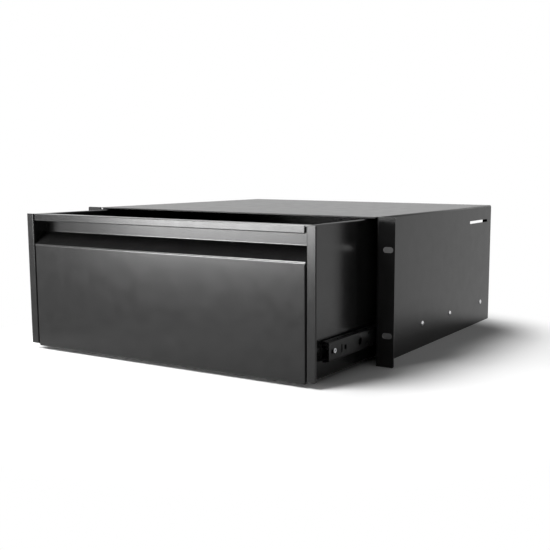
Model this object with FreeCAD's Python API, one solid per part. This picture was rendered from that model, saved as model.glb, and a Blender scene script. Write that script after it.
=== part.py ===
import FreeCAD, Part
import math
import os

os.makedirs("parts", exist_ok=True)
V = FreeCAD.Vector

# A four-unit sliding drawer for a 19-inch rack, in millimetres.
# The origin is the centre of the four rack slots, on the rear face of the ears, which seats on the
# rack's rails. +X is to the right, +Y goes into the rack and +Z is up.

# --- rack standard ---
RACK_PITCH = 44.45              # height of one rack unit
UNITS = 4
UNIT_CLEARANCE = 0.8            # height that the ears leave free of their rack units
EAR_SPAN = 482.6
EAR_WIDTH = 22.3
SLOT_EDGE = 8.75                # from the end of an ear to the middle of its slots
SLOT_END = 38.1                 # from the end of the rack units to the middle of the nearest slots
SLOT_LENGTH = 13.0
SLOT_WIDTH = 7.0
EAR_CORNER = 2.0

# --- folded sheet ---
SHEET = 1.5
BEND = 0.8                      # inside radius of every fold

# --- casing ---
CASING_DEPTH = 390.0            # front face of the ears to the rear face of the flanges
REAR_FLANGE = 13.5
CORNER_GAP = 1.0                # between two flanges that meet at a corner
NOTCH_WIDTH = 2.2               # corner relief beside each ear, across
NOTCH_DEPTH = 4.0               # along the side
NOTCH_HEIGHT = 3.0
SUPPORT_SLOT_LENGTH = 72.0      # long slot in each side for a rear support
SUPPORT_SLOT_HEIGHT = 4.0
SUPPORT_SLOT_DROP = 22.5        # below the top of the casing
SUPPORT_SLOT_BACK = 19.0        # its rear end, in front of the rear face
TIE_BAR_WIDTH = 30.0
TIE_BAR_TAB = 15.0
TIE_BAR_BACK = 16.0             # behind the tie bar, to the rear face

# --- drawer ---
REST_OPEN = 134.0               # how far the drawer stands open as modelled
DRAWER_DEPTH = 376.0
DRAWER_TOP_GAP = 1.3            # under the casing's top
DRAWER_FLOOR_GAP = 3.9          # above the bottom of the ears
STRIP_GAP = 3.6                 # from the front strips to the casing's sides
SEAM_FLANGE = 14.0              # welded seams of the drawer
GRIP_OPENING_TOP = 7.85         # height of the lip over the finger recess
GRIP_OPENING = 31.15            # height of the recess at the front
GRIP_DEPTH = 21.0
GRIP_SLOPE = 15.25              # height over which the recess slopes back

# --- telescopic slides ---
SLIDE_SPACE = 12.7              # between the drawer and the casing, each side
SLIDE_LENGTH = 350.0
SLIDE_SETBACK = 27.0            # from the drawer's front face to the slides
SLIDE_HEIGHT = 35.7             # centre of the slides above the bottom of the ears
STAGE_TRAVEL = 175.0            # of the middle members, and again of the drawer on them
CABINET_MEMBER_HEIGHT = 29.5
MEMBER_SHEET = 1.0
MEMBER_BEND = 0.6
RACE_STEP = 1.0                 # shoulder beside a ball race
RUN_GAP = 0.2                   # between a cage and the webs beside it
BALL_RADIUS = 1.35
BALL_GAP = 0.15
RACE_GAP = 0.2                  # beside a ball, to the end of its race
POCKET_GAP = 0.2
CAGE_SHEET = 0.5
CAGE_LENGTH = 150.0
CAGE_START = 95.0               # behind the front of the slides, when closed
BALLS_PER_ROW = 4
BALL_SIDES = 6                  # flats round a ball
BALL_ZONES = 4                  # and from pole to pole
BUMPER_LENGTH = 7.0
BUMPER_HEIGHT = 12.0
STOP_GAP = 0.5

# --- fasteners and holes in the slides ---
RIVET_RADIUS = 2.0
RIVET_HEAD_RADIUS = 3.3
RIVET_HEAD_HEIGHT = 1.2
RIVET_CROWN_RADIUS = 1.8
HOLE_GAP = 0.1
CASING_RIVETS = (106.5, 201.5, 323.5)     # behind the front of the slides
RIVET_DROP = 4.6                # below the centre of the slides
SCREW_RADIUS = 1.9
SCREW_HEAD_RADIUS = 3.4
SCREW_HEAD_HEIGHT = 1.6
SCREW_RECESS = 1.0
SCREW_RECESS_WIDTH = 0.9        # of each arm of the cross
SCREW_HEAD_TAPER = 0.8
DRAWER_SCREWS = (72.0, 303.0)
ACCESS_RADIUS = 4.2
SLIT_PLACE = 28.5               # upright slit in the middle member's web
SLIT_WIDTH = 2.4
SLIT_HEIGHT = 8.8
OVAL_PLACE = 37.0
OVAL_LENGTH = 6.0
OVAL_WIDTH = 4.6
FRONT_HOLE_PLACE = 7.0
FRONT_HOLE_RADIUS = 2.6

PAST = 1.0                      # how far a cutting tool runs past a face

# --- derived levels ---
RACK_HEIGHT = UNITS * RACK_PITCH
EAR_HEIGHT = RACK_HEIGHT - UNIT_CLEARANCE
SLOT_X = EAR_SPAN / 2 - SLOT_EDGE
SLOT_Z = RACK_HEIGHT / 2 - SLOT_END
BOTTOM = -EAR_HEIGHT / 2
TOP = EAR_HEIGHT / 2
FOLD = BEND + SHEET                       # outside radius of a fold
FRONT = -SHEET                            # front face of the ears
REAR = FRONT + CASING_DEPTH
CASING_HALF = EAR_SPAN / 2 - EAR_WIDTH
CASING_INNER = CASING_HALF - SHEET

DRAWER_HALF = CASING_INNER - SLIDE_SPACE
DRAWER_INNER = DRAWER_HALF - SHEET
DRAWER_TOP = TOP - SHEET - DRAWER_TOP_GAP
PANEL_BOTTOM = BOTTOM + DRAWER_FLOOR_GAP
TRAY_BOTTOM = PANEL_BOTTOM + SHEET        # the front panel's lower flange lies under the floor
TRAY_FLOOR = TRAY_BOTTOM + SHEET
DRAWER_FRONT = FRONT
DRAWER_REAR = DRAWER_FRONT + DRAWER_DEPTH
STRIP_HALF = CASING_INNER - STRIP_GAP
LIP_BOTTOM = DRAWER_TOP - GRIP_OPENING_TOP
GRIP_LOW = LIP_BOTTOM - GRIP_OPENING
GRIP_BACK = DRAWER_FRONT + GRIP_DEPTH

SLIDE_Z = BOTTOM + SLIDE_HEIGHT
RIVET_Z = SLIDE_Z - RIVET_DROP
SLIDE_FRONT = DRAWER_FRONT + SLIDE_SETBACK
SLIDE_REAR = SLIDE_FRONT + SLIDE_LENGTH
MEMBER_REAR = SLIDE_REAR - BUMPER_LENGTH - STOP_GAP

# distance of each web from the drawer's side, to the middle of its sheet
HALF_SHEET = MEMBER_SHEET / 2
CABINET_WEB = SLIDE_SPACE - HALF_SHEET
OUTER_CAGE_WEB = SLIDE_SPACE - MEMBER_SHEET - RUN_GAP - CAGE_SHEET / 2
MIDDLE_WEB = OUTER_CAGE_WEB - CAGE_SHEET / 2 - RUN_GAP - HALF_SHEET
INNER_CAGE_WEB = MIDDLE_WEB - HALF_SHEET - RUN_GAP - CAGE_SHEET / 2
DRAWER_WEB = HALF_SHEET

# height of each race above the slide's centre, to the middle of its sheet
RACE_DROP = MEMBER_SHEET / 2 + BALL_GAP + BALL_RADIUS
CABINET_RACE = CABINET_MEMBER_HEIGHT / 2 - HALF_SHEET
OUTER_BALL = CABINET_RACE - RACE_DROP
MIDDLE_RACE = OUTER_BALL - RACE_DROP
INNER_CEILING = MIDDLE_RACE + RACE_STEP
INNER_BALL = INNER_CEILING - RACE_DROP
DRAWER_RACE = INNER_BALL - RACE_DROP

# distance of the ball rows and of the flanges' ends from the drawer's side
OUTER_ROW = MIDDLE_WEB - HALF_SHEET / 2 - BALL_RADIUS
MIDDLE_STEP = OUTER_ROW - BALL_RADIUS - RACE_GAP
CABINET_LIP = MIDDLE_STEP - HALF_SHEET
INNER_ROW = MIDDLE_STEP - RACE_STEP - BALL_RADIUS
MIDDLE_LIP = INNER_ROW - BALL_RADIUS - RACE_GAP - HALF_SHEET
DRAWER_LIP = INNER_CAGE_WEB - CAGE_SHEET / 2 - MEMBER_BEND


# --- helpers ---
def unit(ax, ay):
    length = math.hypot(ax, ay)
    return ax / length, ay / length


def offset_line(path, gap):
    """The line beside a path, at a distance to its right."""
    out = []
    for i, (x, y) in enumerate(path):
        normals = []
        for j in (i - 1, i):
            if 0 <= j < len(path) - 1:
                dx, dy = unit(path[j + 1][0] - path[j][0], path[j + 1][1] - path[j][1])
                normals.append((dy, -dx))
        nx = sum(n[0] for n in normals)
        ny = sum(n[1] for n in normals)
        scale = gap * len(normals) / (nx * nx + ny * ny)
        out.append((x + nx * scale, y + ny * scale))
    return out


def turn(path, i):
    """The signed angle that a path turns at one of its points, positive to the left."""
    ax, ay = unit(path[i][0] - path[i - 1][0], path[i][1] - path[i - 1][1])
    bx, by = unit(path[i + 1][0] - path[i][0], path[i + 1][1] - path[i][1])
    return math.atan2(ax * by - ay * bx, ax * bx + ay * by)


def rounded_wire(points, radii, lift):
    """A closed outline whose corners are rounded by their radii; lift places a flat point in space."""
    edges = []
    joints = []
    count = len(points)
    for i in range(count):
        before, here, after = points[i - 1], points[i], points[(i + 1) % count]
        ax, ay = unit(before[0] - here[0], before[1] - here[1])
        bx, by = unit(after[0] - here[0], after[1] - here[1])
        if radii[i] == 0:
            joints.append((here, here, None))
            continue
        half = math.acos(max(-1.0, min(1.0, ax * bx + ay * by))) / 2
        reach = radii[i] / math.tan(half)
        mx, my = unit(ax + bx, ay + by)
        deep = radii[i] / math.sin(half) - radii[i]
        joints.append((
            (here[0] + ax * reach, here[1] + ay * reach),
            (here[0] + bx * reach, here[1] + by * reach),
            (here[0] + mx * deep, here[1] + my * deep),
        ))
    for i in range(count):
        start, end, middle = joints[i]
        if middle is not None:
            edges.append(Part.Arc(lift(*start), lift(*middle), lift(*end)).toShape())
        nxt = joints[(i + 1) % count][0]
        if math.hypot(nxt[0] - end[0], nxt[1] - end[1]) > 1e-6:
            edges.append(Part.LineSegment(lift(*end), lift(*nxt)).toShape())
    return Part.Wire(edges)


def placed(axis, start):
    """How flat points map to space in the plane across an axis, and the axis itself."""
    if axis == "x":
        return (lambda a, b: V(start, a, b)), V(1, 0, 0)
    if axis == "y":
        return (lambda a, b: V(a, start, b)), V(0, 1, 0)
    return (lambda a, b: V(a, b, start)), V(0, 0, 1)


def folded(path, axis, start, end, sheet=SHEET, bend=BEND, sharp=()):
    """A folded strip of sheet. The path is one face of it and the metal lies to the path's right.
    The corners that sharp lists have no radius."""
    other = offset_line(path, sheet)
    near = [0.0]
    far = [0.0]
    for i in range(1, len(path) - 1):
        inside, outside = (0.0, 0.0) if i in sharp else (bend, bend + sheet)
        right = turn(path, i) < 0
        near.append(outside if right else inside)
        far.append(inside if right else outside)
    near.append(0.0)
    far.append(0.0)
    lift, along = placed(axis, start)
    wire = rounded_wire(path + other[::-1], near + far[::-1], lift)
    return Part.Face(wire).extrude(along * (end - start))


def box(x0, x1, y0, y1, z0, z1):
    return Part.makeBox(x1 - x0, y1 - y0, z1 - z0, V(x0, y0, z0))


def bar(x0, x1, y, z, radius):
    """A round bar along X."""
    return Part.makeCylinder(radius, x1 - x0, V(x0, y, z), V(1, 0, 0))


def slide_holes(x0, x1, places, radius, z=SLIDE_Z):
    """Tools that drill one level of the slides at some distances behind their front."""
    return [bar(x0, x1, SLIDE_FRONT + place, z, radius) for place in places]


def obround(axis, start, end, at, length, width, upright=False):
    """A bar with round ends; its length lies along the first direction of the plane across its axis."""
    def point(u, v):
        u, v = (v, u) if upright else (u, v)
        return lift(at[0] + u, at[1] + v)
    lift, along = placed(axis, start)
    r = width / 2
    c = length / 2 - r
    outline = Part.Wire([
        Part.LineSegment(point(-c, -r), point(c, -r)).toShape(),
        Part.Arc(point(c, -r), point(c + r, 0), point(c, r)).toShape(),
        Part.LineSegment(point(c, r), point(-c, r)).toShape(),
        Part.Arc(point(-c, r), point(-c - r, 0), point(-c, -r)).toShape(),
    ])
    return Part.Face(outline).extrude(along * (end - start))


def mirrored(shape):
    return shape.mirror(V(0, 0, 0), V(1, 0, 0))


def moved(shape, dy):
    copy = shape.copy()
    copy.translate(V(0, dy, 0))
    return copy


def save(name, shape):
    solids = shape.Solids
    out = solids[0] if len(solids) == 1 else Part.makeCompound(solids)
    out.exportStep("parts/%s.step" % name)


def save_pair(name, shape):
    """The right-hand piece as built and its mirror image on the left."""
    save(name + "_right", shape)
    save(name + "_left", mirrored(shape))


# --- casing ---
def casing_shell():
    """Top, sides, ears and rear flanges, folded from one sheet."""
    body = folded(
        [(-CASING_HALF, BOTTOM), (-CASING_HALF, TOP), (CASING_HALF, TOP), (CASING_HALF, BOTTOM)],
        "y", BEND, REAR - FOLD)
    notch_edge = CASING_INNER - NOTCH_WIDTH
    front_strip = box(-notch_edge, notch_edge, FRONT, NOTCH_DEPTH, TOP - SHEET, TOP)
    ear = folded([(EAR_SPAN / 2, FRONT), (CASING_INNER, FRONT), (CASING_INNER, BEND)], "z", BOTTOM, TOP)
    corners = [e for e in ear.Edges if abs(e.BoundBox.XMin - EAR_SPAN / 2) < 1e-6 and e.Length < 2 * SHEET]
    ear = ear.makeFillet(EAR_CORNER, corners)
    side_flange = folded(
        [(CASING_HALF - REAR_FLANGE, REAR), (CASING_HALF, REAR), (CASING_HALF, REAR - FOLD)],
        "z", BOTTOM, TOP - FOLD - CORNER_GAP)
    flange_half = CASING_HALF - REAR_FLANGE - CORNER_GAP
    top_flange = folded(
        [(REAR - FOLD, TOP), (REAR, TOP), (REAR, TOP - REAR_FLANGE)], "x", -flange_half, flange_half)
    shell = body.fuse([front_strip, ear, mirrored(ear), side_flange, mirrored(side_flange), top_flange])
    cuts = []
    for sign in (-1, 1):
        relief = box(notch_edge, CASING_HALF + BEND, 0, NOTCH_DEPTH, TOP - NOTCH_HEIGHT, TOP + PAST)
        cuts.append(relief if sign > 0 else mirrored(relief))
        for z in (-SLOT_Z, SLOT_Z):
            cuts.append(obround("y", FRONT - PAST, PAST, (sign * SLOT_X, z), SLOT_LENGTH, SLOT_WIDTH))
    slot_y = REAR - SUPPORT_SLOT_BACK - SUPPORT_SLOT_LENGTH / 2
    slot_z = TOP - SUPPORT_SLOT_DROP
    cuts.append(box(
        -CASING_HALF - PAST, CASING_HALF + PAST,
        slot_y - SUPPORT_SLOT_LENGTH / 2, slot_y + SUPPORT_SLOT_LENGTH / 2,
        slot_z - SUPPORT_SLOT_HEIGHT / 2, slot_z + SUPPORT_SLOT_HEIGHT / 2))
    cuts += slide_holes(
        -CASING_HALF - PAST, CASING_HALF + PAST, CASING_RIVETS, RIVET_RADIUS + HOLE_GAP, RIVET_Z)
    return shell.cut(cuts).removeSplitter()


def rear_tie_bar():
    """A strip across the open bottom whose ends turn up and are welded inside the casing's sides."""
    y1 = REAR - TIE_BAR_BACK
    return folded(
        [(CASING_INNER, BOTTOM + TIE_BAR_TAB), (CASING_INNER, BOTTOM),
         (-CASING_INNER, BOTTOM), (-CASING_INNER, BOTTOM + TIE_BAR_TAB)],
        "y", y1 - TIE_BAR_WIDTH, y1)


def casing_rivets():
    """Rivets through the casing's right side: domed outside, flush with the slide's web inside."""
    out = []
    inner = CASING_INNER - MEMBER_SHEET
    for place in CASING_RIVETS:
        y = SLIDE_FRONT + place
        shank = bar(inner, CASING_HALF, y, RIVET_Z, RIVET_RADIUS)
        head = Part.makeCone(
            RIVET_HEAD_RADIUS, RIVET_CROWN_RADIUS, RIVET_HEAD_HEIGHT, V(CASING_HALF, y, RIVET_Z), V(1, 0, 0))
        out.append(shank.fuse(head))
    return Part.makeCompound(out)


# --- slides: every member is a folded strip, built for the right-hand side ---
def member(half_path, y0, y1, sheet=MEMBER_SHEET, round_web=False):
    """A profile from the upper half of its centre line, from the web out to the end of the flange.
    Its small steps are sharp; round_web rounds it where the flanges leave the web."""
    points = [(a, -b) for a, b in reversed(half_path)] + list(half_path)
    points = [(DRAWER_HALF + a, SLIDE_Z + b) for a, b in points]
    webs = (len(half_path) - 1, len(half_path)) if round_web else ()
    steps = [i for i in range(len(points)) if i not in webs]
    return folded(offset_line(points, -sheet / 2), "y", y0, y1, sheet, MEMBER_BEND, steps)


def cabinet_member():
    profile = member([
        (CABINET_WEB, CABINET_RACE),
        (CABINET_LIP, CABINET_RACE),
        (CABINET_LIP, CABINET_RACE - HALF_SHEET - RACE_STEP),
    ], SLIDE_FRONT, SLIDE_REAR)
    return profile.cut(slide_holes(
        DRAWER_HALF + MIDDLE_WEB, CASING_INNER + PAST, CASING_RIVETS, RIVET_RADIUS + HOLE_GAP, RIVET_Z))


def middle_member():
    """Its web faces the casing; each flange steps out to hold two rows of balls, one on each side."""
    profile = member([
        (MIDDLE_WEB, MIDDLE_RACE),
        (MIDDLE_STEP, MIDDLE_RACE),
        (MIDDLE_STEP - RACE_STEP, INNER_CEILING),
        (MIDDLE_LIP, INNER_CEILING),
        (MIDDLE_LIP, INNER_CEILING - HALF_SHEET - RACE_STEP),
    ], SLIDE_FRONT, MEMBER_REAR, round_web=True)
    x0 = DRAWER_HALF + INNER_CAGE_WEB
    x1 = CASING_INNER
    cuts = slide_holes(x0, x1, DRAWER_SCREWS, ACCESS_RADIUS)
    cuts += slide_holes(x0, x1, [FRONT_HOLE_PLACE], FRONT_HOLE_RADIUS)
    slit_y = SLIDE_FRONT + SLIT_PLACE
    cuts.append(box(
        x0, x1, slit_y - SLIT_WIDTH / 2, slit_y + SLIT_WIDTH / 2,
        SLIDE_Z - SLIT_HEIGHT / 2, SLIDE_Z + SLIT_HEIGHT / 2))
    cuts.append(obround("x", x0, x1, (SLIDE_FRONT + OVAL_PLACE, SLIDE_Z), OVAL_LENGTH, OVAL_WIDTH, True))
    return profile.cut(cuts)


def drawer_member():
    profile = member([
        (DRAWER_WEB, DRAWER_RACE),
        (MIDDLE_STEP, DRAWER_RACE),
        (MIDDLE_STEP + RACE_STEP / 2, DRAWER_RACE + RACE_STEP),
        (DRAWER_LIP, DRAWER_RACE + RACE_STEP),
    ], SLIDE_FRONT, MEMBER_REAR)
    return profile.cut(slide_holes(
        DRAWER_HALF - PAST, DRAWER_HALF + MEMBER_SHEET + PAST, DRAWER_SCREWS, SCREW_RADIUS + HOLE_GAP))


def ball_places():
    pitch = CAGE_LENGTH / BALLS_PER_ROW
    return [SLIDE_FRONT + CAGE_START + pitch * (i + 0.5) for i in range(BALLS_PER_ROW)]


def cage(web, row, height, round_web=False):
    """A thin channel with a window for each ball."""
    y0 = SLIDE_FRONT + CAGE_START
    half = BALL_RADIUS + POCKET_GAP
    x = DRAWER_HALF + row
    channel = member(
        [(web, height), (row - half - CAGE_SHEET, height)], y0, y0 + CAGE_LENGTH, CAGE_SHEET,
        round_web)
    reach = height + CAGE_SHEET
    windows = [box(x - half, x + half, y - half, y + half, SLIDE_Z - reach, SLIDE_Z + reach)
               for y in ball_places()]
    return channel.cut(windows)


def flat_ball():
    """A ball about the origin, of flat faces that lie inside its sphere."""
    rings = []
    for i in range(BALL_ZONES + 1):
        tilt = math.pi * i / BALL_ZONES
        ring = []
        for j in range(BALL_SIDES):
            turned = 2 * math.pi * j / BALL_SIDES
            r = BALL_RADIUS * math.sin(tilt)
            ring.append(V(r * math.cos(turned), r * math.sin(turned), BALL_RADIUS * math.cos(tilt)))
        rings.append(ring)
    faces = []
    for i in range(BALL_ZONES):
        for j in range(BALL_SIDES):
            k = (j + 1) % BALL_SIDES
            corners = [rings[i][j], rings[i + 1][j], rings[i + 1][k], rings[i][k]]
            if i == 0:
                corners = [rings[0][0], rings[1][j], rings[1][k]]
            if i == BALL_ZONES - 1:
                corners = [rings[i][j], rings[BALL_ZONES][0], rings[i][k]]
            faces.append(Part.Face(Part.makePolygon(corners + corners[:1])))
    return Part.makeSolid(Part.makeShell(faces))


def balls(row, height):
    out = []
    for y in ball_places():
        for side in (-1, 1):
            ball = flat_ball()
            ball.translate(V(DRAWER_HALF + row, y, SLIDE_Z + side * height))
            out.append(ball)
    return Part.makeCompound(out)


def slide_bumper():
    """A rubber stop at the rear of the fixed member, against which the drawer closes."""
    x0 = DRAWER_HALF + DRAWER_WEB + MEMBER_SHEET
    x1 = CASING_INNER - MEMBER_SHEET
    half = BUMPER_HEIGHT / 2
    return box(x0, x1, SLIDE_REAR - BUMPER_LENGTH, SLIDE_REAR, SLIDE_Z - half, SLIDE_Z + half)


def member_screws():
    """Pan-head screws that hold the inner members to the drawer, their cross recesses facing out."""
    out = []
    seat = DRAWER_HALF + MEMBER_SHEET
    face = seat + SCREW_HEAD_HEIGHT
    for place in DRAWER_SCREWS:
        y = SLIDE_FRONT + place
        shank = bar(DRAWER_INNER, seat, y, SLIDE_Z, SCREW_RADIUS)
        head = Part.makeCone(
            SCREW_HEAD_RADIUS, SCREW_HEAD_RADIUS - SCREW_HEAD_TAPER, SCREW_HEAD_HEIGHT,
            V(seat, y, SLIDE_Z), V(1, 0, 0))
        arm = SCREW_HEAD_RADIUS / 2
        w = SCREW_RECESS_WIDTH / 2
        x0 = face - SCREW_RECESS
        cross = box(x0, face + PAST, y - arm, y + arm, SLIDE_Z - w, SLIDE_Z + w)
        cross = cross.fuse(box(x0, face + PAST, y - w, y + w, SLIDE_Z - arm, SLIDE_Z + arm))
        out.append(shank.fuse(head).cut(cross))
    return Part.makeCompound(out)


# --- drawer ---
def drawer_tray():
    """Floor and sides from one sheet; each side turns outward at the front to cover its slide."""
    tray = folded(
        [(DRAWER_HALF, DRAWER_TOP), (DRAWER_HALF, TRAY_BOTTOM),
         (-DRAWER_HALF, TRAY_BOTTOM), (-DRAWER_HALF, DRAWER_TOP)],
        "y", DRAWER_FRONT + FOLD, DRAWER_REAR)
    strip = folded(
        [(STRIP_HALF, DRAWER_FRONT), (DRAWER_INNER, DRAWER_FRONT), (DRAWER_INNER, DRAWER_FRONT + FOLD)],
        "z", TRAY_FLOOR, DRAWER_TOP)
    tray = tray.fuse([strip, mirrored(strip)])
    holes = slide_holes(-DRAWER_HALF - PAST, DRAWER_HALF + PAST, DRAWER_SCREWS, SCREW_RADIUS + HOLE_GAP)
    return tray.cut(holes).removeSplitter()


def drawer_front_panel():
    """One folded sheet: front, sloping recess for the fingers, its back, the top and the lip."""
    flat_half = DRAWER_INNER - FOLD
    fold = folded([
        (DRAWER_FRONT + SEAM_FLANGE, PANEL_BOTTOM),
        (DRAWER_FRONT, PANEL_BOTTOM),
        (DRAWER_FRONT, GRIP_LOW),
        (GRIP_BACK, GRIP_LOW + GRIP_SLOPE),
        (GRIP_BACK, DRAWER_TOP - SHEET),
        (DRAWER_FRONT + SHEET, DRAWER_TOP - SHEET),
        (DRAWER_FRONT + SHEET, LIP_BOTTOM),
    ], "x", -flat_half, flat_half)
    sides = folded([
        (DRAWER_INNER, DRAWER_FRONT + SEAM_FLANGE),
        (DRAWER_INNER, DRAWER_FRONT),
        (-DRAWER_INNER, DRAWER_FRONT),
        (-DRAWER_INNER, DRAWER_FRONT + SEAM_FLANGE),
    ], "z", TRAY_FLOOR + BEND, GRIP_LOW - FOLD)
    return fold.fuse(sides).removeSplitter()


def drawer_rear_wall():
    """A flanged plate welded between the sides and on the floor."""
    flat_half = DRAWER_INNER - FOLD
    wall = folded([
        (-DRAWER_INNER, DRAWER_REAR - SEAM_FLANGE),
        (-DRAWER_INNER, DRAWER_REAR),
        (DRAWER_INNER, DRAWER_REAR),
        (DRAWER_INNER, DRAWER_REAR - SEAM_FLANGE),
    ], "z", TRAY_FLOOR + FOLD, DRAWER_TOP)
    foot = folded([
        (DRAWER_REAR, TRAY_FLOOR + FOLD),
        (DRAWER_REAR, TRAY_FLOOR),
        (DRAWER_REAR - SEAM_FLANGE, TRAY_FLOOR),
    ], "x", -flat_half, flat_half)
    return wall.fuse(foot).removeSplitter()


def main():
    save("casing_shell", casing_shell())
    save("rear_tie_bar", rear_tie_bar())
    save_pair("casing_rivets", casing_rivets())
    save_pair("cabinet_member", cabinet_member())
    save_pair("slide_bumper", slide_bumper())

    half_open = -REST_OPEN / 2
    save_pair("outer_cage", moved(cage(OUTER_CAGE_WEB, OUTER_ROW, OUTER_BALL), half_open))
    save_pair("outer_balls", moved(balls(OUTER_ROW, OUTER_BALL), half_open))

    out = -REST_OPEN
    save_pair("middle_member", moved(middle_member(), out))
    save_pair("inner_cage", moved(cage(INNER_CAGE_WEB, INNER_ROW, INNER_BALL, round_web=True), out))
    save_pair("inner_balls", moved(balls(INNER_ROW, INNER_BALL), out))
    save_pair("drawer_member", moved(drawer_member(), out))
    save_pair("member_screws", moved(member_screws(), out))
    save("drawer_tray", moved(drawer_tray(), out))
    save("drawer_front_panel", moved(drawer_front_panel(), out))
    save("drawer_rear_wall", moved(drawer_rear_wall(), out))


main()
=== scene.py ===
import math

import bmesh
import bpy
from mathutils import Matrix, Vector


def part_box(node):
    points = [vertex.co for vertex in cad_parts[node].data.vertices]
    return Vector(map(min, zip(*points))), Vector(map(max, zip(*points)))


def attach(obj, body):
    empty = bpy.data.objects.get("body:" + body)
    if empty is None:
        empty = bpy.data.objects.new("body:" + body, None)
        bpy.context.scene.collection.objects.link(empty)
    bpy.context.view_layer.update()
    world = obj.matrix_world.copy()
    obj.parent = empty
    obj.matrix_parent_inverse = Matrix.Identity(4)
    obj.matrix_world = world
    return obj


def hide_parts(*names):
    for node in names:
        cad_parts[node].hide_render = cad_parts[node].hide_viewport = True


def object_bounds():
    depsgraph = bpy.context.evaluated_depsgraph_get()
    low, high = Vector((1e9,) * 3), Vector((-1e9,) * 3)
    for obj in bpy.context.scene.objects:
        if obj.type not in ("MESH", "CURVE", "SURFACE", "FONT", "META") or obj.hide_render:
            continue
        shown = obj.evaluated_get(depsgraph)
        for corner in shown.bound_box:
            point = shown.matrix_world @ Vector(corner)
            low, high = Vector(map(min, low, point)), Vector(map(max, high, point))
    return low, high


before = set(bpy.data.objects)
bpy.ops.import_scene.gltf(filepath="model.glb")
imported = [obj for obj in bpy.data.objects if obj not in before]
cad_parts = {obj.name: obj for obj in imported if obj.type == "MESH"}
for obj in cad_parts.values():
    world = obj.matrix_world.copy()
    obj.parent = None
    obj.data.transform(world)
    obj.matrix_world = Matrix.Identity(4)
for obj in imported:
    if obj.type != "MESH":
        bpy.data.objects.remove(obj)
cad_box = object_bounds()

# The looks of a rack drawer on telescopic slides, in metres, in the frame of the CAD part: +X is
# the drawer's right as the reader faces it, -Y is the front and +Z is up.
scene = bpy.context.scene


# --- camera ---
SENSOR = 36.0                   # millimetres, as the focal length


def add_camera(place, azimuth, elevation, roll, focal, shift):
    """A camera at a place in metres that looks along an azimuth from +Y, down by the elevation."""
    az, el, ro = (math.radians(v) for v in (azimuth, elevation, roll))
    ahead = Vector((-math.sin(az) * math.cos(el), math.cos(az) * math.cos(el), -math.sin(el)))
    right = Vector((math.cos(az), math.sin(az), 0.0))
    up = right.cross(ahead)
    across = math.cos(ro) * right + math.sin(ro) * up
    upright = -math.sin(ro) * right + math.cos(ro) * up
    data = bpy.data.cameras.new("camera")
    data.lens = focal
    data.sensor_width = SENSOR
    data.shift_x, data.shift_y = shift
    data.clip_start = 0.01
    camera = bpy.data.objects.new("camera", data)
    turn = Matrix((across, upright, -ahead)).transposed().to_4x4()
    camera.matrix_world = Matrix.Translation(place) @ turn
    scene.collection.objects.link(camera)
    scene.camera = camera


add_camera(place=(0.6741, -0.9081, 0.1464), azimuth=30.02, elevation=8.086, roll=0.223,
           focal=56.985, shift=(-0.0937, 0.0277))


# --- finishes ---
NOISE_LOW, NOISE_HIGH = 0.3, 0.7        # where nearly all of the noise lies


def new_material(name):
    """An empty node material, with its nodes and links."""
    material = bpy.data.materials.new(name)
    material.use_nodes = True
    nodes = material.node_tree.nodes
    nodes.clear()
    return material, nodes, material.node_tree.links


def finish_of(name, colour, roughness, specular, metallic=0.0, colour_spread=0.1,
              roughness_spread=0.05, grain_scale=900.0, grain_height=0.00001, blotch_scale=300.0):
    """A surface with a fine grain in its bump and slow changes in its colour and roughness."""
    material, nodes, links = new_material(name)
    out = nodes.new("ShaderNodeOutputMaterial")
    shader = nodes.new("ShaderNodeBsdfPrincipled")
    place = nodes.new("ShaderNodeTexCoord")
    links.new(shader.outputs[0], out.inputs[0])
    shader.inputs["Metallic"].default_value = metallic
    shader.inputs["Specular IOR Level"].default_value = specular

    blotch = nodes.new("ShaderNodeTexNoise")
    blotch.inputs["Scale"].default_value = blotch_scale
    blotch.inputs["Detail"].default_value = 4.0
    links.new(place.outputs["Object"], blotch.inputs["Vector"])
    tone = nodes.new("ShaderNodeValToRGB")
    tone.color_ramp.elements[0].position = NOISE_LOW
    tone.color_ramp.elements[1].position = NOISE_HIGH
    dark = [c * (1 - colour_spread) for c in colour]
    pale = [c * (1 + colour_spread) for c in colour]
    tone.color_ramp.elements[0].color = (*dark, 1)
    tone.color_ramp.elements[1].color = (*pale, 1)
    links.new(blotch.outputs["Fac"], tone.inputs["Fac"])
    links.new(tone.outputs["Color"], shader.inputs["Base Color"])

    sheen = nodes.new("ShaderNodeMapRange")
    sheen.inputs["From Min"].default_value = NOISE_LOW
    sheen.inputs["From Max"].default_value = NOISE_HIGH
    sheen.inputs["To Min"].default_value = roughness - roughness_spread
    sheen.inputs["To Max"].default_value = roughness + roughness_spread
    links.new(blotch.outputs["Fac"], sheen.inputs["Value"])
    links.new(sheen.outputs["Result"], shader.inputs["Roughness"])

    grain = nodes.new("ShaderNodeTexNoise")
    grain.inputs["Scale"].default_value = grain_scale
    grain.inputs["Detail"].default_value = 2.0
    links.new(place.outputs["Object"], grain.inputs["Vector"])
    bump = nodes.new("ShaderNodeBump")
    bump.inputs["Strength"].default_value = 1.0
    bump.inputs["Distance"].default_value = grain_height
    links.new(grain.outputs["Fac"], bump.inputs["Height"])
    links.new(bump.outputs["Normal"], shader.inputs["Normal"])
    return material


def powder_coat(name, level, roughness, specular):
    """A black powder coat; the level is that of its grey."""
    return finish_of(name, (level, level, level), roughness, specular, roughness_spread=0.02,
                     grain_height=0.00003, blotch_scale=60.0)


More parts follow.
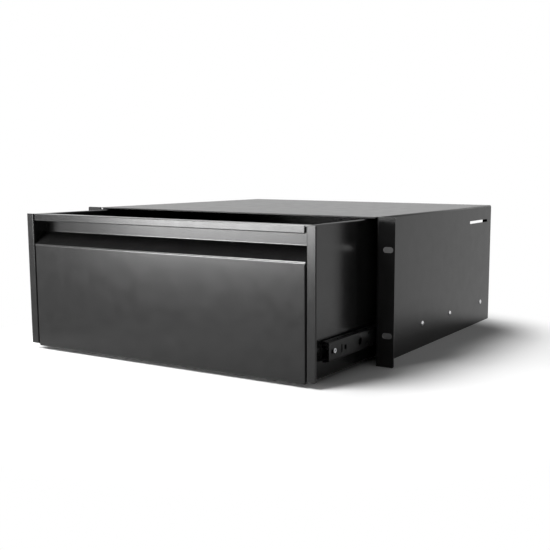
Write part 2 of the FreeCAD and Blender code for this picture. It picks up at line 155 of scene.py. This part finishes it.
powder = powder_coat("powder_coat", 0.006, 0.22, 0.3)
# the casing's coat is the drawer's black made darker: painted shade, for the ears and side that sit
# in shade beside the drawer
casing_powder_shaded = powder_coat("powder_coat_casing_shaded", 0.0015, 0.32, 0.3)
bends = powder_coat("powder_coat_bends", 0.006, 0.2, 0.8)
slide_steel = finish_of("slide_steel", (0.002, 0.002, 0.002), 0.3, 0.2, colour_spread=0.15,
                        blotch_scale=90.0)
zinc = finish_of("zinc", (0.55, 0.56, 0.58), 0.3, 0.5, metallic=1.0)
rivet_steel = finish_of("rivet_steel", (0.6, 0.6, 0.61), 0.32, 0.5, metallic=1.0)
ball_steel = finish_of("ball_steel", (0.7, 0.7, 0.71), 0.12, 0.5, metallic=1.0,
                       colour_spread=0.05, roughness_spread=0.03, grain_scale=600.0,
                       grain_height=0.000002)
# black rubber of the bumpers, also used for the painted shade at the strips' outer edges
rubber_and_painted_shade = finish_of("rubber_and_painted_shade", (0.02, 0.02, 0.02), 0.7, 0.3, grain_scale=1200.0,
                   grain_height=0.00003, blotch_scale=100.0)

for name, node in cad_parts.items():
    material = casing_powder_shaded if name == "casing_shell" else powder
    if "member" in name or "cage" in name:
        material = slide_steel
    if "screws" in name:
        material = zinc
    if "bumper" in name:
        material = rubber_and_painted_shade
    node.data.materials.clear()
    node.data.materials.append(material)


# --- mesh helpers ---
SHARP = math.radians(35)        # edges that fold further than this stay hard


def new_piece(name, mesh, material, body):
    """An object from a bmesh, smooth-shaded but for its sharp edges, that rides on a body."""
    data = bpy.data.meshes.new(name)
    for face in mesh.faces:
        face.smooth = True
    for edge in mesh.edges:
        edge.smooth = len(edge.link_faces) != 2 or edge.calc_face_angle() < SHARP
    mesh.to_mesh(data)
    mesh.free()
    data.materials.append(material)
    piece = bpy.data.objects.new(name, data)
    scene.collection.objects.link(piece)
    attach(piece, body)
    return piece


def lathe(mesh, profile, centre, side, steps=48):
    """Turns a profile of (distance along the axis, radius) about an axis parallel to X."""
    rings = []
    for along, radius in profile:
        if radius == 0:
            rings.append([mesh.verts.new(centre + Vector((side * along, 0, 0)))])
            continue
        ring = []
        for i in range(steps):
            angle = 2 * math.pi * i / steps
            spot = Vector((side * along, radius * math.cos(angle), radius * math.sin(angle)))
            ring.append(mesh.verts.new(centre + spot))
        rings.append(ring)
    for a, b in zip(rings, rings[1:]):
        for i in range(steps):
            k = (i + 1) % steps
            corners = [a[i % len(a)], a[k % len(a)], b[k % len(b)], b[i % len(b)]]
            mesh.faces.new(list(dict.fromkeys(corners)))
    bmesh.ops.recalc_face_normals(mesh, faces=mesh.faces)


def arc(along, radius, size, start, end, steps):
    """Points of a rounded edge in a lathe's profile, from one angle in degrees to another."""
    out = []
    for i in range(steps + 1):
        angle = math.radians(start + (end - start) * i / steps)
        out.append((along + size * math.sin(angle), radius + size * math.cos(angle)))
    return out


# --- fasteners and balls ---
STEEL_SHEET = 0.0015            # of the casing and the drawer
RIVET_SHANK = 0.002             # radius
RIVET_INSIDE = 0.0025           # how far the shank reaches in from the casing's side
RIVET_RIM = 0.0002              # height of the rim under the dome
RIVET_BULGE = 0.00005           # of the rim, past the dome's radius
RIVET_BULGE_HEIGHT = 0.00015
RIVET_DOME = 0.0012
RIVET_PITCH = 0.095             # from the first rivet to the second
BALL_RADIUS = 0.00135
BALLS_PER_ROW = 4
BALL_CORNER = math.radians(60)  # the six-sided CAD ball reaches its radius times this sine
PIN_PLACE = 0.013               # behind the middle member's front end
PIN_BORE = 0.0012
PIN_SHANK = 0.0018
PIN_RING = 0.0026               # radius of the ring's middle
PIN_FOOT = 0.0002               # from there to the ring's edge on the web
PIN_RISE = 0.0002               # height over the web where the ring begins to round
PIN_ROLL = 0.00025              # radius of its rounded edge
PIN_CREST = 0.00045             # height of the ring over the web
PIN_MOUTH = 0.0017              # radius where the ring turns down to the bore
PIN_SINK = 0.0003               # height over the web where it meets the bore
PIN_INSIDE = 0.0009             # how far the pin reaches into the web, short of the ball cage


def casing_rivets(side, name):
    """Domed heads on the casing, each on its shank."""
    node = "casing_rivets_" + name
    lo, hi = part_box(node)
    radius = (hi.z - lo.z) / 2
    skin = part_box("cabinet_member_right")[1].x + STEEL_SHEET
    mesh = bmesh.new()
    for y in (lo.y + radius, lo.y + radius + RIVET_PITCH, hi.y - radius):
        centre = Vector((side * skin, y, (lo.z + hi.z) / 2))
        profile = [(-RIVET_INSIDE, 0), (-RIVET_INSIDE, RIVET_SHANK), (0.0, RIVET_SHANK)]
        profile += [(0.0, radius), (RIVET_BULGE_HEIGHT, radius + RIVET_BULGE)]
        for degrees in range(0, 90, 10):
            angle = math.radians(degrees)
            profile.append((RIVET_RIM + RIVET_DOME * math.sin(angle), radius * math.cos(angle)))
        profile.append((RIVET_RIM + RIVET_DOME, 0))
        lathe(mesh, profile, centre, side)
    piece = new_piece(node + "_domed", mesh, rivet_steel, "casing")
    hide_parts(node)


def ball_rows(node, body):
    """Polished balls at the places of the node's rows."""
    lo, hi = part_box(node)
    x = (lo.x + hi.x) / 2
    inset = BALL_RADIUS * math.sin(BALL_CORNER)
    first, last = lo.y + inset, hi.y - inset
    mesh = bmesh.new()
    for i in range(BALLS_PER_ROW):
        y = first + (last - first) * i / (BALLS_PER_ROW - 1)
        for z in (lo.z + BALL_RADIUS, hi.z - BALL_RADIUS):
            spots = bmesh.ops.create_icosphere(mesh, subdivisions=3, radius=BALL_RADIUS)
            bmesh.ops.translate(mesh, verts=spots["verts"], vec=(x, y, z))
    piece = new_piece(node + "_polished", mesh, ball_steel, body)
    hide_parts(node)


def stop_pin(side, name):
    """A tubular pin with a rolled ring of a head, in the front of the middle member's web."""
    lo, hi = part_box("middle_member_" + name)
    web = hi.x if side > 0 else -lo.x
    centre = Vector((0, lo.y + PIN_PLACE, (lo.z + hi.z) / 2))
    tail = web - PIN_INSIDE
    mesh = bmesh.new()
    profile = [(tail, PIN_BORE), (tail, PIN_SHANK), (web, PIN_SHANK), (web, PIN_RING + PIN_FOOT)]
    profile += arc(web + PIN_RISE, PIN_RING, PIN_ROLL, 0, 90, 4)
    profile += [(web + PIN_CREST, PIN_MOUTH), (web + PIN_SINK, PIN_BORE), (tail, PIN_BORE)]
    lathe(mesh, profile, centre, side)
    new_piece("stop_pin_" + name, mesh, zinc, "slide_middle")


for side, name in ((1, "right"), (-1, "left")):
    casing_rivets(side, name)
    stop_pin(side, name)
    ball_rows("outer_balls_" + name, "outer_cages")
    ball_rows("inner_balls_" + name, "inner_cages")


# --- folded sheets ---
PANEL_SHEET = 0.0012            # a little thinner than the CAD sheet
PANEL_RADII = (0.001, 0.002, 0.003, 0.001, 0.00065, 0.0007)    # of its bends, from foot to hem
SIDE_GAP = 0.0017               # from the panel's ends to the tray's sides
CORNER = 0.0013                 # from the panel's ends to where its returns begin
RETURN_RADIUS = 0.00065
FACE_RETURN = 0.014             # depth of the returns beside the lower face
RETURN_OVER_FOOT = 0.0022       # their lower ends above the foot
RETURN_UNDER_CREASE = 0.0014
LIP_RETURN = 0.017              # depth of the returns beside the lip
RETURN_UNDER_TOP = 0.0013
FOOT = 0.014                    # depth of the flange under the tray
LIP_HEIGHT = 0.00785
RECESS_HEIGHT = 0.03115
RECESS_SLOPE = 0.01525
HEM_DROP = 0.0009               # of the hem's underside, below the lip's
HEM_REACH = 0.0025
BAND_FALL = 0.0006              # of the top band, from the lip to its back
LIP_LEAN = 0.00015
RIM_HEM = 0.008                 # depth of the fold along the top of the tray's sides
SHADE_EDGING_REACH = 0.0006           # of the black piece of painted shade, past the strips' edges
SHADE_EDGING_ROUND = 0.0003
SHADE_EDGING_WRAP = 0.0027            # how far back it reaches
SHADE_EDGING_LEG = 0.0012             # and how far in, behind the strip
SHADE_EDGING_SEAT = 0.0013            # depth of its inner face, just behind the strip
SHADE_EDGING_BITE = 0.0002            # of its inner face into the strip's edge
SHADE_EDGING_SHORT = 0.0005           # from its ends to the strips' ends
TRAY_CORNER = 0.0015            # radius of the tray's lower corners
STRIP_RADIUS = 0.0007
STRIP_THIN = 0.8                # the strips' thickness, as a share of the sheet's
BEHIND_STRIPS = 0.002           # from the strips' faces to the front edge of the tray's sides
BEND_STEPS = 8
BENT = 0.00001                  # difference in length of two faces that shows a bend
SECOND_FINISH = 1               # index of a piece's second material


def unit(a, b):
    """The direction from one point to another."""
    size = math.hypot(b[0] - a[0], b[1] - a[1])
    return (b[0] - a[0]) / size, (b[1] - a[1]) / size


def beside(path, gap):
    """The path moved to its right by a gap, with its corners kept."""
    out = []
    for i in range(len(path)):
        runs = []
        if i > 0:
            runs.append(unit(path[i - 1], path[i]))
        if i < len(path) - 1:
            runs.append(unit(path[i], path[i + 1]))
        rights = [(run[1], -run[0]) for run in runs]
        x = sum(r[0] for r in rights) / len(rights)
        y = sum(r[1] for r in rights) / len(rights)
        share = gap / (x * x + y * y)
        out.append((path[i][0] + x * share, path[i][1] + y * share))
    return out


def bend_start(number):
    """Index of the first point of a bend, counted from 1, in the lists that bent gives."""
    return 1 + (number - 1) * (BEND_STEPS + 1)


def turned_by(arm, angle):
    """An arm turned about the origin."""
    c, s = math.cos(angle), math.sin(angle)
    return c * arm[0] - s * arm[1], s * arm[0] + c * arm[1]


def bent(path, sheet, radii):
    """The two faces of a sheet bent along a path, as points. The path is one face's line with its
    corners sharp, the metal lies to its right, and each radius is that of the sheet's middle."""
    middle = beside(path, sheet / 2)
    spots = [(middle[0], unit(middle[0], middle[1]))]
    for i in range(1, len(middle) - 1):
        before = unit(middle[i - 1], middle[i])
        after = unit(middle[i], middle[i + 1])
        cross = before[0] * after[1] - before[1] * after[0]
        angle = math.atan2(cross, before[0] * after[0] + before[1] * after[1])
        radius = radii[i - 1]
        back = radius * math.tan(abs(angle) / 2)
        way = 1 if angle > 0 else -1
        start = (middle[i][0] - before[0] * back, middle[i][1] - before[1] * back)
        pivot = (start[0] - way * before[1] * radius, start[1] + way * before[0] * radius)
        arm = (start[0] - pivot[0], start[1] - pivot[1])
        for k in range(BEND_STEPS + 1):
            reach = turned_by(arm, angle * k / BEND_STEPS)
            spot = (pivot[0] + reach[0], pivot[1] + reach[1])
            spots.append((spot, turned_by(before, angle * k / BEND_STEPS)))
    spots.append((middle[-1], unit(middle[-2], middle[-1])))
    near = [(p[0] - d[1] * sheet / 2, p[1] + d[0] * sheet / 2) for p, d in spots]
    far = [(p[0] + d[1] * sheet / 2, p[1] - d[0] * sheet / 2) for p, d in spots]
    return near, far


def run_of(mesh, faces, axis, start, end, bent_finish=0):
    """Runs a bent sheet's section along an axis and closes its ends and edges. Its bends, where
    one face is longer than the other, take the material of index bent_finish."""
    def lift(point, at):
        a, b = point
        return {"x": (at, a, b), "y": (a, at, b), "z": (a, b, at)}[axis]

    near, far = faces
    ends = []
    for at in (start, end):
        ends.append([[mesh.verts.new(lift(p, at)) for p in side] for side in (near, far)])
    (n0, f0), (n1, f1) = ends
    made = []
    for i in range(len(near) - 1):
        longer = math.dist(near[i], near[i + 1]) - math.dist(far[i], far[i + 1])
        for a, b in ((n0, n1), (f0, f1)):
            face = mesh.faces.new((a[i], a[i + 1], b[i + 1], b[i]))
            face.material_index = bent_finish if abs(longer) > BENT else 0
            made.append(face)
        made.append(mesh.faces.new((n0[i], n0[i + 1], f0[i + 1], f0[i])))
        made.append(mesh.faces.new((n1[i], n1[i + 1], f1[i + 1], f1[i])))
    for i in (0, -1):
        made.append(mesh.faces.new((n0[i], n1[i], f1[i], f0[i])))
    bmesh.ops.recalc_face_normals(mesh, faces=made)


def mirrored(faces, side):
    """The same points on the side of +X or, for side -1, of -X."""
    return [[(side * x, y) for x, y in face] for face in faces]


def even_normals(piece):
    """Keeps the flats flat beside their rounded bends."""
    weighted = piece.modifiers.new("even", "WEIGHTED_NORMAL")
    weighted.keep_sharp = True
    weighted.weight = 100


def front_panel():
    """The drawer's front with its finger recess and lip, and returns at the ends of both."""
    node = "drawer_front_panel"
    lo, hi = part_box(node)
    sheet = PANEL_SHEET
    front, back, top, bottom = lo.y, hi.y - STEEL_SHEET, hi.z, lo.z
    half = hi.x - SIDE_GAP
    flat = half - CORNER
    lip_low = top - LIP_HEIGHT
    crease = lip_low - RECESS_HEIGHT
    under = top - sheet
    hem = lip_low - HEM_DROP + sheet
    path = [(front + FOOT, bottom), (front, bottom), (front, crease), (back, crease + RECESS_SLOPE),
            (back, under - BAND_FALL), (front + sheet + LIP_LEAN, under), (front + sheet, hem),
            (front + sheet + HEM_REACH, hem)]
    near, far = bent(path, sheet, PANEL_RADII)

    # stretches of the section, each with its half width: the foot and the lower face, the crease,
    # the recess up to the top band, and the lip
    crease_start, crease_end, lip_start = bend_start(2), bend_start(3) - 1, bend_start(5)
    mesh = bmesh.new()
    for first, last, reach, finish in ((0, crease_start, flat, 0),
                                       (crease_start, crease_end, half, SECOND_FINISH),
                                       (crease_end, lip_start, hi.x, SECOND_FINISH),
                                       (lip_start, len(near) - 1, flat, SECOND_FINISH)):
        part = near[first:last + 1], far[first:last + 1]
        run_of(mesh, part, "x", -reach, reach, finish)
    face_ends = bottom + RETURN_OVER_FOOT, crease - RETURN_UNDER_CREASE
    lip_ends = lip_low, top - RETURN_UNDER_TOP
    for side in (1, -1):
        for (z0, z1), depth in ((face_ends, FACE_RETURN), (lip_ends, LIP_RETURN)):
            ell = [(half, front + depth), (half, front), (flat, front)]
            run_of(mesh, mirrored(bent(ell, sheet, (RETURN_RADIUS,)), side), "z", z0, z1)
    piece = new_piece(node + "_folded", mesh, powder, "drawer")
    piece.data.materials.append(bends)
    even_normals(piece)
    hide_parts(node)


def drawer_tray():
    """The tray, with a hem along each side's top and strips that turn outward at the front."""
    node = "drawer_tray"
    lo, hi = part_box(node)
    sheet = STEEL_SHEET
    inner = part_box("drawer_rear_wall")[1].x
    outer = inner + sheet
    hemmed = outer - 2 * sheet
    mesh = bmesh.new()
    path = [(hemmed, hi.z - RIM_HEM), (hemmed, hi.z), (outer, hi.z), (outer, lo.z)]
    path += [(-x, z) for x, z in reversed(path)]
    tight = sheet / 2
    radii = (tight, tight, TRAY_CORNER, TRAY_CORNER, tight, tight)
    side_front = lo.y + BEHIND_STRIPS
    run_of(mesh, bent(path, sheet, radii), "y", side_front, hi.y)
    strip_path = [(hi.x, lo.y), (inner, lo.y), (inner, side_front)]
    strip = bent(strip_path, sheet * STRIP_THIN, (STRIP_RADIUS,))
    for side in (1, -1):
        run_of(mesh, mirrored(strip, side), "z", lo.z + sheet, hi.z)
    piece = new_piece(node + "_folded", mesh, powder, "drawer")
    even_normals(piece)
    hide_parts(node)


def strip_painted_shade():
    """A black piece that wraps the outer edge of each of the tray's strips: painted shade for the
    shaded gap at those edges.
    """
    lo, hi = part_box("drawer_tray")
    edge, front, back = hi.x, lo.y + SHADE_EDGING_ROUND, lo.y + SHADE_EDGING_WRAP
    outside = [(edge, front), (edge + SHADE_EDGING_ROUND, front),
               (edge + SHADE_EDGING_REACH, front + SHADE_EDGING_ROUND),
               (edge + SHADE_EDGING_REACH, back - SHADE_EDGING_ROUND), (edge + SHADE_EDGING_ROUND, back),
               (edge - SHADE_EDGING_LEG, back)]
    inside = [(min(edge, x) - SHADE_EDGING_BITE, max(y, lo.y + SHADE_EDGING_SEAT)) for x, y in outside]
    mesh = bmesh.new()
    for side in (1, -1):
        run_of(mesh, mirrored((outside, inside), side), "z",
               lo.z + STEEL_SHEET + SHADE_EDGING_SHORT, hi.z - SHADE_EDGING_SHORT)
    new_piece("front_strip_painted_shade", mesh, rubber_and_painted_shade, "drawer")


front_panel()
drawer_tray()
strip_painted_shade()


# --- edges of the CAD nodes ---
WELD_REACH = 0.00001
CUT_EDGE = math.radians(40)     # edges that turn further than this are eased
SHEET_EDGE = 0.0003
RAIL_EDGE = 0.0002
SCREW_EDGE = 0.00012
RUBBER_EDGE = 0.0008


def ease_edges(node, width, segments=2):
    """Rounds the cut edges of a CAD node by modifiers; its mesh stays as it is."""
    weld = node.modifiers.new("weld", "WELD")
    weld.merge_threshold = WELD_REACH
    bevel = node.modifiers.new("eased", "BEVEL")
    bevel.width = width
    bevel.segments = segments
    bevel.limit_method = "ANGLE"
    bevel.angle_limit = CUT_EDGE
    bevel.harden_normals = True


for name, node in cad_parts.items():
    if name in ("casing_shell", "drawer_rear_wall", "rear_tie_bar"):
        ease_edges(node, SHEET_EDGE)
    if "member_left" in name or "member_right" in name:
        ease_edges(node, RAIL_EDGE)
    if "screws" in name:
        ease_edges(node, SCREW_EDGE)
    if "bumper" in name:
        ease_edges(node, RUBBER_EDGE, segments=3)


# --- studio ---
FLOOR_GAP = 0.0002              # under the object
FLOOR_REACH = 8.0               # from the middle to each side
FLOOR_TONE = (0.9, 0.9, 0.9, 1)
WHITE = (1, 1, 1, 1)


def white_where_seen(nodes, links, plain, white):
    """Mixes a plain shader, for the light it gives, with a white one, for the eye and for gloss.
    Gives the socket that says which rays see white, and the mix, whose factor is left open."""
    paths = nodes.new("ShaderNodeLightPath")
    seen = paths.outputs["Is Camera Ray"]
    for kind in ("Is Glossy Ray", "Is Transmission Ray"):
        either = nodes.new("ShaderNodeMath")
        either.operation = "MAXIMUM"
        links.new(seen, either.inputs[0])
        links.new(paths.outputs[kind], either.inputs[1])
        seen = either.outputs[0]
    mix = nodes.new("ShaderNodeMixShader")
    links.new(plain.outputs[0], mix.inputs[1])
    links.new(white.outputs[0], mix.inputs[2])
    return seen, mix


def add_world(fill):
    """White where it is seen or reflected, and a softer fill on the surfaces."""
    world = bpy.data.worlds.new("studio")
    scene.world = world
    world.use_nodes = True
    nodes, links = world.node_tree.nodes, world.node_tree.links
    nodes.clear()
    out = nodes.new("ShaderNodeOutputWorld")
    white = nodes.new("ShaderNodeBackground")
    white.inputs["Color"].default_value = WHITE
    plain = nodes.new("ShaderNodeBackground")
    plain.inputs["Color"].default_value = WHITE
    plain.inputs["Strength"].default_value = fill
    seen, mix = white_where_seen(nodes, links, plain, white)
    links.new(seen, mix.inputs[0])
    links.new(mix.outputs[0], out.inputs[0])


def add_floor(centre, near, far):
    """A pale floor that takes the object's shadow within near of the centre, and that is plain
    white, where it is seen or reflected, from far on."""
    z = cad_box[0].z - FLOOR_GAP
    mesh = bpy.data.meshes.new("floor")
    corners = [(x * FLOOR_REACH, y * FLOOR_REACH, z)
               for x, y in ((-1, -1), (1, -1), (1, 1), (-1, 1))]
    mesh.from_pydata(corners, [], [(0, 1, 2, 3)])
    floor = bpy.data.objects.new("floor", mesh)
    scene.collection.objects.link(floor)
    material, nodes, links = new_material("floor_white")
    out = nodes.new("ShaderNodeOutputMaterial")
    plain = nodes.new("ShaderNodeBsdfDiffuse")
    plain.inputs["Color"].default_value = FLOOR_TONE
    white = nodes.new("ShaderNodeEmission")
    white.inputs["Color"].default_value = WHITE
    place = nodes.new("ShaderNodeTexCoord")
    middle = nodes.new("ShaderNodeVectorMath")
    middle.operation = "DISTANCE"
    middle.inputs[1].default_value = (*centre, z)
    links.new(place.outputs["Object"], middle.inputs[0])
    away = nodes.new("ShaderNodeMapRange")
    away.interpolation_type = "SMOOTHSTEP"
    away.inputs["From Min"].default_value = near
    away.inputs["From Max"].default_value = far
    links.new(middle.outputs["Value"], away.inputs["Value"])
    seen, mix = white_where_seen(nodes, links, plain, white)
    share = nodes.new("ShaderNodeMath")
    share.operation = "MULTIPLY"
    links.new(away.outputs["Result"], share.inputs[0])
    links.new(seen, share.inputs[1])
    links.new(share.outputs[0], mix.inputs[0])
    links.new(mix.outputs[0], out.inputs[0])
    mesh.materials.append(material)


def add_softbox(name, place, target, size, power):
    """An area lamp of a size in metres and a power in watts that faces a target."""
    data = bpy.data.lights.new(name, "AREA")
    data.shape = "RECTANGLE"
    data.size, data.size_y = size
    data.energy = power
    lamp = bpy.data.objects.new(name, data)
    look = (Vector(target) - Vector(place)).to_track_quat("-Z", "Y")
    lamp.matrix_world = Matrix.Translation(place) @ look.to_matrix().to_4x4()
    scene.collection.objects.link(lamp)


add_world(fill=0.14)
add_floor(centre=(0.1, 0.0), near=0.33, far=0.47)
add_softbox("key", (-0.757, -1.123, 1.645), (0, 0, 0), (1.2, 0.9), 54)
add_softbox("top_left", (-0.741, -0.131, 1.98), (0, 0, 0), (1.8, 0.7), 16)
add_softbox("back_left", (-1.0, 1.2, 1.8), (0, 0, 0), (1.6, 0.8), 14)
add_softbox("low", (-0.85, -1.45, 0.09), (0.05, -0.13, 0.09), (0.66, 0.3), 18.5)

scene.view_settings.view_transform = "Standard"
